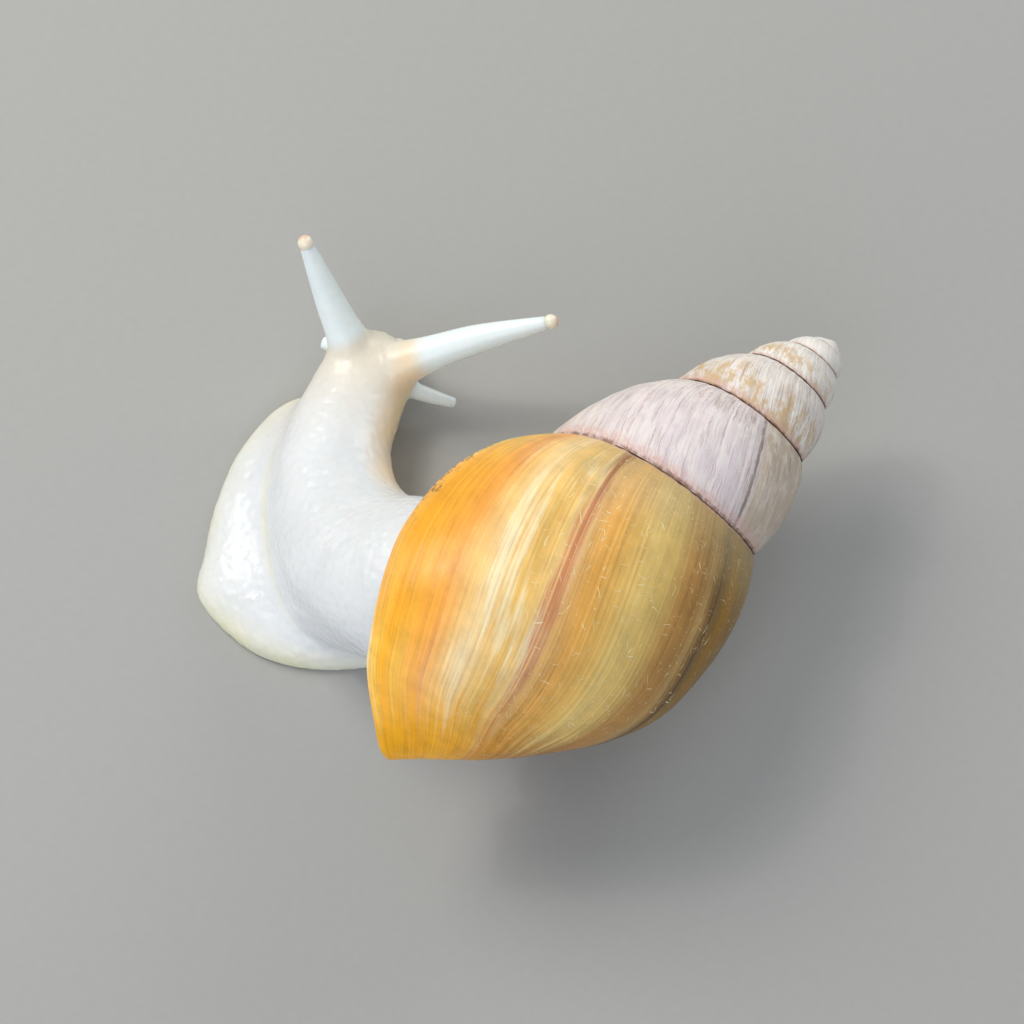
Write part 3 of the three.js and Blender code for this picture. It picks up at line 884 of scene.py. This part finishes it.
def fillCreases(bm, points, edges, free):
    # hollows are filled by moving points outwards only, so that no rounded part shrinks
    high = smoothStep(points[:, 2], 0.3, 1.2)
    for turn in range(skin["creaseFill"]):
        if turn % 8 == 0:  # the normals change slowly
            normals = moveVerts(bm, points)
        step = relax(points, edges, 0.9, free * high) - points
        outwards = (step * normals).sum(axis=1)
        points = points + normals * np.maximum(outwards, 0)[:, None]
    return points


def makeSkin(material):
    bm = bmesh.new()
    addPart(bm, loft, foot["stations"], footOutline, foot["steps"])
    addPart(bm, loft, body["stations"], bodyOutline, body["steps"], keepInShell)
    addPart(bm, addMantle)
    for line, half, flare in feelers.values():
        addPart(bm, addFeeler, line, half, flare)
    for centre, radii, turn in skin["lips"]:
        addPart(bm, addLobe, centre, radii, turn)
    bm = fuse(bm, skin["voxel"])
    points, edges = meshArrays(bm)
    onFeeler = np.zeros(len(points))
    for line, half, _ in feelers.values():
        t, away = nearestOn(line, points)
        reach = feelerWidth(half, t)
        near = 1 - smoothStep(away, reach * 1.15, reach * 1.9)
        onFeeler = np.maximum(onFeeler, near * smoothStep(t, 0.25, 0.5))
    free = 1 - 0.75 * onFeeler
    # smoothing that doesn't shrink, and then a little that does, away from the feelers
    for _ in range(skin["smoothing"]):
        points = relax(points, edges, 0.6, free)
        points = relax(points, edges, -0.45, free)
    for _ in range(6):
        points = relax(points, edges, 0.5, free * (1 - onFeeler))
    hollow = points
    points = fillCreases(bm, points, edges, free)
    filled = np.linalg.norm(points - hollow, axis=1)
    points[:, 2] = np.maximum(points[:, 2], 0)
    points[points[:, 2] < skin["sole"], 2] = 0
    points = points + moveVerts(bm, points) * skinRelief(points, onFeeler)[:, None]
    points[:, 2] = np.maximum(points[:, 2], 0)
    values = skinValues(points)
    values["crease"] = smoothStep(filled, 0.3, 1.2) * (points[:, 2] > 1)
    layers = {name: bm.verts.layers.float.new(name) for name in values}
    moveVerts(bm, points)
    for name, layer in layers.items():
        for vert, value in zip(bm.verts, values[name]):
            vert[layer] = value
    return makeObject("snail_skin", bm, material)


def skinRelief(points, onFeeler):
    # rounded tubercles, flatter on the head, none on the sole and the feelers
    low = 1 - smoothStep(nearestOn(bodyLine, points)[0], 0.62, 0.85)
    relief = np.zeros(len(points))
    for index, point in enumerate(points):
        place = Vector(point)
        cells = noise.voronoi(place * 0.62)[0]
        edge = min(cells[1] - cells[0], 0.5) * 2
        relief[index] = edge + 0.6 * noise.noise(place * 1.3)
    free = (1 - onFeeler) * smoothStep(points[:, 2], 0.2, 0.8)
    return skin["tubercle"] * (relief - 0.5) * (0.25 + 0.75 * low) * free


def skinValues(points):
    # where each colour lies, from 0 to 1
    t = nearestOn(bodyLine, points)[0]
    middle, _, left, _ = lineFrame(bodyLine, t)
    aside = ((points - middle) * left).sum(axis=1)
    wide = spline([station[1:] for station in body["stations"]], t)[:, 0]
    n, share, most, radius, _ = shellPlace(points)
    feeler = np.zeros(len(points))
    for line, half, _ in feelers.values():
        along, off = nearestOn(line, points)
        reach = feelerWidth(half, along)
        near = 1 - smoothStep(off, reach * 1.3, reach * 2)
        feeler = np.maximum(feeler, near * smoothStep(along, 0.12, 0.3))
    spread, reach = skin["rollTint"]
    roll = np.exp(-(((share - skin["mantleRoll"][0]) / spread) ** 2)) * smoothStep(n, -0.04, -0.01)
    roll = roll * (n < reach) * (1 - smoothStep(most - radius, 3, 5))
    inner = smoothStep(-aside / wide, 0.45, 0.95) * smoothStep(t, 0.25, 0.45)
    inner = inner * (1 - 0.45 * smoothStep(t, 0.8, 0.92))
    return {
        "feeler": feeler,
        "head": smoothStep(t, 0.5, 0.85) * (1 - feeler),
        "coarse": (1 - 0.85 * smoothStep(t, 0.22, 0.5)) * (1 - feeler),
        "inner": np.maximum(inner * (1 - feeler), 0.6 * roll),
        "margin": 1 - smoothStep(points[:, 2], 0.4, 4.2),
        "nearShell": 1 - smoothStep(np.abs(radius - most) + np.maximum(n, 0) * 120, 0, 9),
    }


fleshColours = {
    "body": (229, 232, 234),
    "coolAndShade": (221, 228, 242),
    "head": (234, 222, 198),
    "cream": (240, 235, 196),
    "peachGlow": (252, 226, 186),
    "feeler": (240, 254, 255),
    "knob": (246, 236, 216),
    "eye": (234, 200, 174),
}


fleshFinish = {
    "Subsurface Weight": 0.6,
    "Subsurface Radius": (1.0, 0.8, 0.68),
    "Subsurface Scale": 2.0 * mm,
    "Coat Weight": 0.45,
    "Coat Roughness": 0.1,
}


def makeFleshMaterial():
    colours = fleshColours
    material, tree, shader = newMaterial("snail_flesh")
    place = addNode(tree, "TexCoord", {}).outputs["Object"]
    feeler, head, inner = (attribute(tree, name) for name in ("feeler", "head", "inner"))
    margin, nearShell, crease = (attribute(tree, name) for name in ("margin", "nearShell", "crease"))
    coarse = attribute(tree, "coarse")
    cloud = noiseOf(tree, place, 260.0, 3.0, 0.5)
    wide = noiseOf(tree, place, 90.0, 2.0, 0.5)
    fine = noiseOf(tree, place, 1400.0, 3.0, 0.6)
    # a cooler bluish tint near the shell, partly the flesh's own and partly painted shade under the lip
    coolAndShade = product(tree, nearShell, remap(tree, wide, 0.35, 0.6, 0.4, 1.0))
    colour = mixColours(tree, coolAndShade, srgb(*colours["body"]), srgb(*colours["coolAndShade"]))
    colour = paint(tree, colour, colours["head"], product(tree, head, 0.75))
    # cream along the crease, and at the foot's margin, where it is partly the thicker flesh and partly
    # painted light thrown up from the ground
    creamAndBounce = product(tree, calc(tree, "MAXIMUM", margin, product(tree, crease, 0.7)),
                     remap(tree, wide, 0.35, 0.6, 0.45, 1.0))
    colour = paint(tree, colour, colours["cream"], creamAndBounce)
    # warm peach on the inner side of the bend and on the mantle's roll, partly the flesh's own tint and
    # partly painted glow of light through the flesh in shade
    paintedPeachGlow = product(tree, inner, remap(tree, cloud, 0.3, 0.7, 0.65, 0.95))
    colour = paint(tree, colour, colours["peachGlow"], paintedPeachGlow)
    colour = paint(tree, colour, colours["feeler"], feeler)
    tone = calc(tree, "ADD", spreadNoise(tree, cloud, 0.955, 1.0), spreadNoise(tree, fine, -0.02, 0.02))
    colour = shade(tree, colour, tone)

    def cells(scale):
        return addNode(tree, "TexVoronoi", {"Vector": place, "Scale": scale}, feature="SMOOTH_F1").outputs[0]

    def dented(height, strength, distance, **under):
        inputs = {"Height": height, "Strength": product(tree, coarse, strength), "Distance": distance * mm}
        return addNode(tree, "Bump", {**inputs, **under}, invert=True).outputs[0]

    small = cells(1100.0)
    skinNormal = dented(small, 0.2, 0.1, Normal=dented(cells(650.0), 0.3, 0.2))
    # the slime's own surface is rougher still, so that it glints in many small places
    slimeNormal = dented(calc(tree, "MULTIPLY_ADD", fine, 0.5, small), 0.9, 0.45)
    setSocket(tree, shader.inputs["Base Color"], colour)
    setSocket(tree, shader.inputs["Normal"], skinNormal)
    setSocket(tree, shader.inputs["Coat Normal"], slimeNormal)
    setSocket(tree, shader.inputs["Roughness"], spreadNoise(tree, cloud, 0.42, 0.55))
    setFinish(shader, fleshFinish)
    return material


skinPiece = makeSkin(makeFleshMaterial())
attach(skinPiece, "root")
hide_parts("mantle", "foot", "tail", "neck", "head", "tentacle_upper_left",
            "tentacle_upper_right", "tentacle_lower_left", "tentacle_lower_right")
print("skin made,", len(skinPiece.data.polygons), "faces")


# eyes: the round knobs at the tips of the upper feelers

eye = {
    "radius": {"left": 0.9, "right": 0.88},
    "length": 1.05,  # times its width
    "drawnIn": 0.12,  # at the feeler's end
}
eyeFinish = {
    "Subsurface Weight": 0.6,
    "Subsurface Radius": (1.0, 0.7, 0.55),
    "Subsurface Scale": 0.9 * mm,
    "Coat Weight": 0.6,
    "Coat Roughness": 0.08,
}


def makeEyeMaterial():
    material, tree, shader = newMaterial("eye_knob")
    place = addNode(tree, "TexCoord", {}).outputs["Object"]
    tip = attribute(tree, "tip")
    spot = remap(tree, calc(tree, "MULTIPLY_ADD", noiseOf(tree, place, 1800.0), 0.3, tip), 0.7, 1.15)
    colour = mixColours(tree, spot, srgb(*fleshColours["knob"]), srgb(*fleshColours["eye"]))
    setSocket(tree, shader.inputs["Base Color"], colour)
    setSocket(tree, shader.inputs["Roughness"], spreadNoise(tree, noiseOf(tree, place, 900.0), 0.12, 0.25))
    setFinish(shader, eyeFinish)
    return material


def makeEye(name, line, radius, material):
    # a knob a little longer than it is wide, drawn in where it joins the feeler
    tip = Vector(line[2])
    way = (tip - Vector(line[1])).normalized()
    bm = bmesh.new()
    bmesh.ops.create_uvsphere(bm, u_segments=48, v_segments=32, radius=radius)
    layer = bm.verts.layers.float.new("tip")
    turn = way.to_track_quat("Z", "Y").to_matrix()
    for vert in bm.verts:
        high = vert.co.z / radius
        vert[layer] = high
        vert.co.z *= eye["length"]
        if high < 0:
            vert.co.xy *= 1 - eye["drawnIn"] * high * high
        vert.co = (tip + turn @ vert.co) * mm
    return makeObject(name, bm, material)


eyeMaterial = makeEyeMaterial()
for side, radius in eye["radius"].items():
    knob = makeEye("eye_knob_" + side, feelers["upper" + side.capitalize()][0], radius, eyeMaterial)
    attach(knob, "root")
    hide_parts("eye_" + side)
print("eyes made")


# floor, light and camera

studio = {
    "floor": 1.2,            # metres across
    "floorColour": (168, 168, 166),
    "world": ((225, 232, 240), 0.43),
    # watts, metres across, place and colour
    "lights": {
        "key": (1.65, 0.35, (-0.03, 0.34, 0.42), (255, 250, 240)),
        "glint": (0.26, 0.06, (-0.08, 0.3, 0.45), (255, 252, 246)),
        "fill": (1.0, 0.45, (-0.34, -0.2, 0.28), (244, 247, 255)),
        "rim": (0.45, 0.25, (0.4, 0.05, 0.22), (255, 252, 246)),
    },
    "target": (14.306, -5.230, 10.6),
    "elevation": 65.0,
    "azimuth": -43.28,
    "distance": 250.0,
    "lens": 79.1,
}


def aim(piece, place, target):
    piece.matrix_world = Matrix.LocRotScale(place, (target - place).to_track_quat("-Z", "Y"), None)


def makeStudio():
    scene = bpy.context.scene
    scene.view_settings.view_transform = "Standard"
    target = Vector(studio["target"]) * mm
    bm = bmesh.new()
    bmesh.ops.create_grid(bm, x_segments=1, y_segments=1, size=studio["floor"] / 2)
    material, tree, shader = newMaterial("studio_floor")
    place = addNode(tree, "TexCoord", {}).outputs["Object"]
    grain = spreadNoise(tree, noiseOf(tree, place, 900.0), 0.97, 1.0)
    colour = shade(tree, srgb(*studio["floorColour"]), grain)
    setSocket(tree, shader.inputs["Base Color"], colour)
    shader.inputs["Roughness"].default_value = 0.75
    floor = makeObject("studio_floor", bm, material)
    world = bpy.data.worlds.new("studio_world")
    world.use_nodes = True
    background = world.node_tree.nodes["Background"]
    background.inputs["Color"].default_value = srgb(*studio["world"][0])
    background.inputs["Strength"].default_value = studio["world"][1]
    scene.world = world
    for name, (power, size, place, colour) in studio["lights"].items():
        light = bpy.data.lights.new(name, "AREA")
        light.shape = "DISK"
        light.energy = power
        light.size = size
        light.color = srgb(*colour)[:3]
        lamp = bpy.data.objects.new(name, light)
        scene.collection.objects.link(lamp)
        aim(lamp, Vector(place), target)
    camera = bpy.data.cameras.new("camera")
    camera.lens = studio["lens"]
    camera.clip_start = 0.01
    viewer = bpy.data.objects.new("camera", camera)
    scene.collection.objects.link(viewer)
    tilt, turn = math.radians(studio["elevation"]), math.radians(studio["azimuth"])
    back = Vector((math.sin(turn) * math.cos(tilt), -math.cos(turn) * math.cos(tilt), math.sin(tilt)))
    viewer.location = target + back * studio["distance"] * mm
    viewer.rotation_euler = (math.pi / 2 - tilt, 0, turn)
    scene.camera = viewer


makeStudio()
print("studio made")
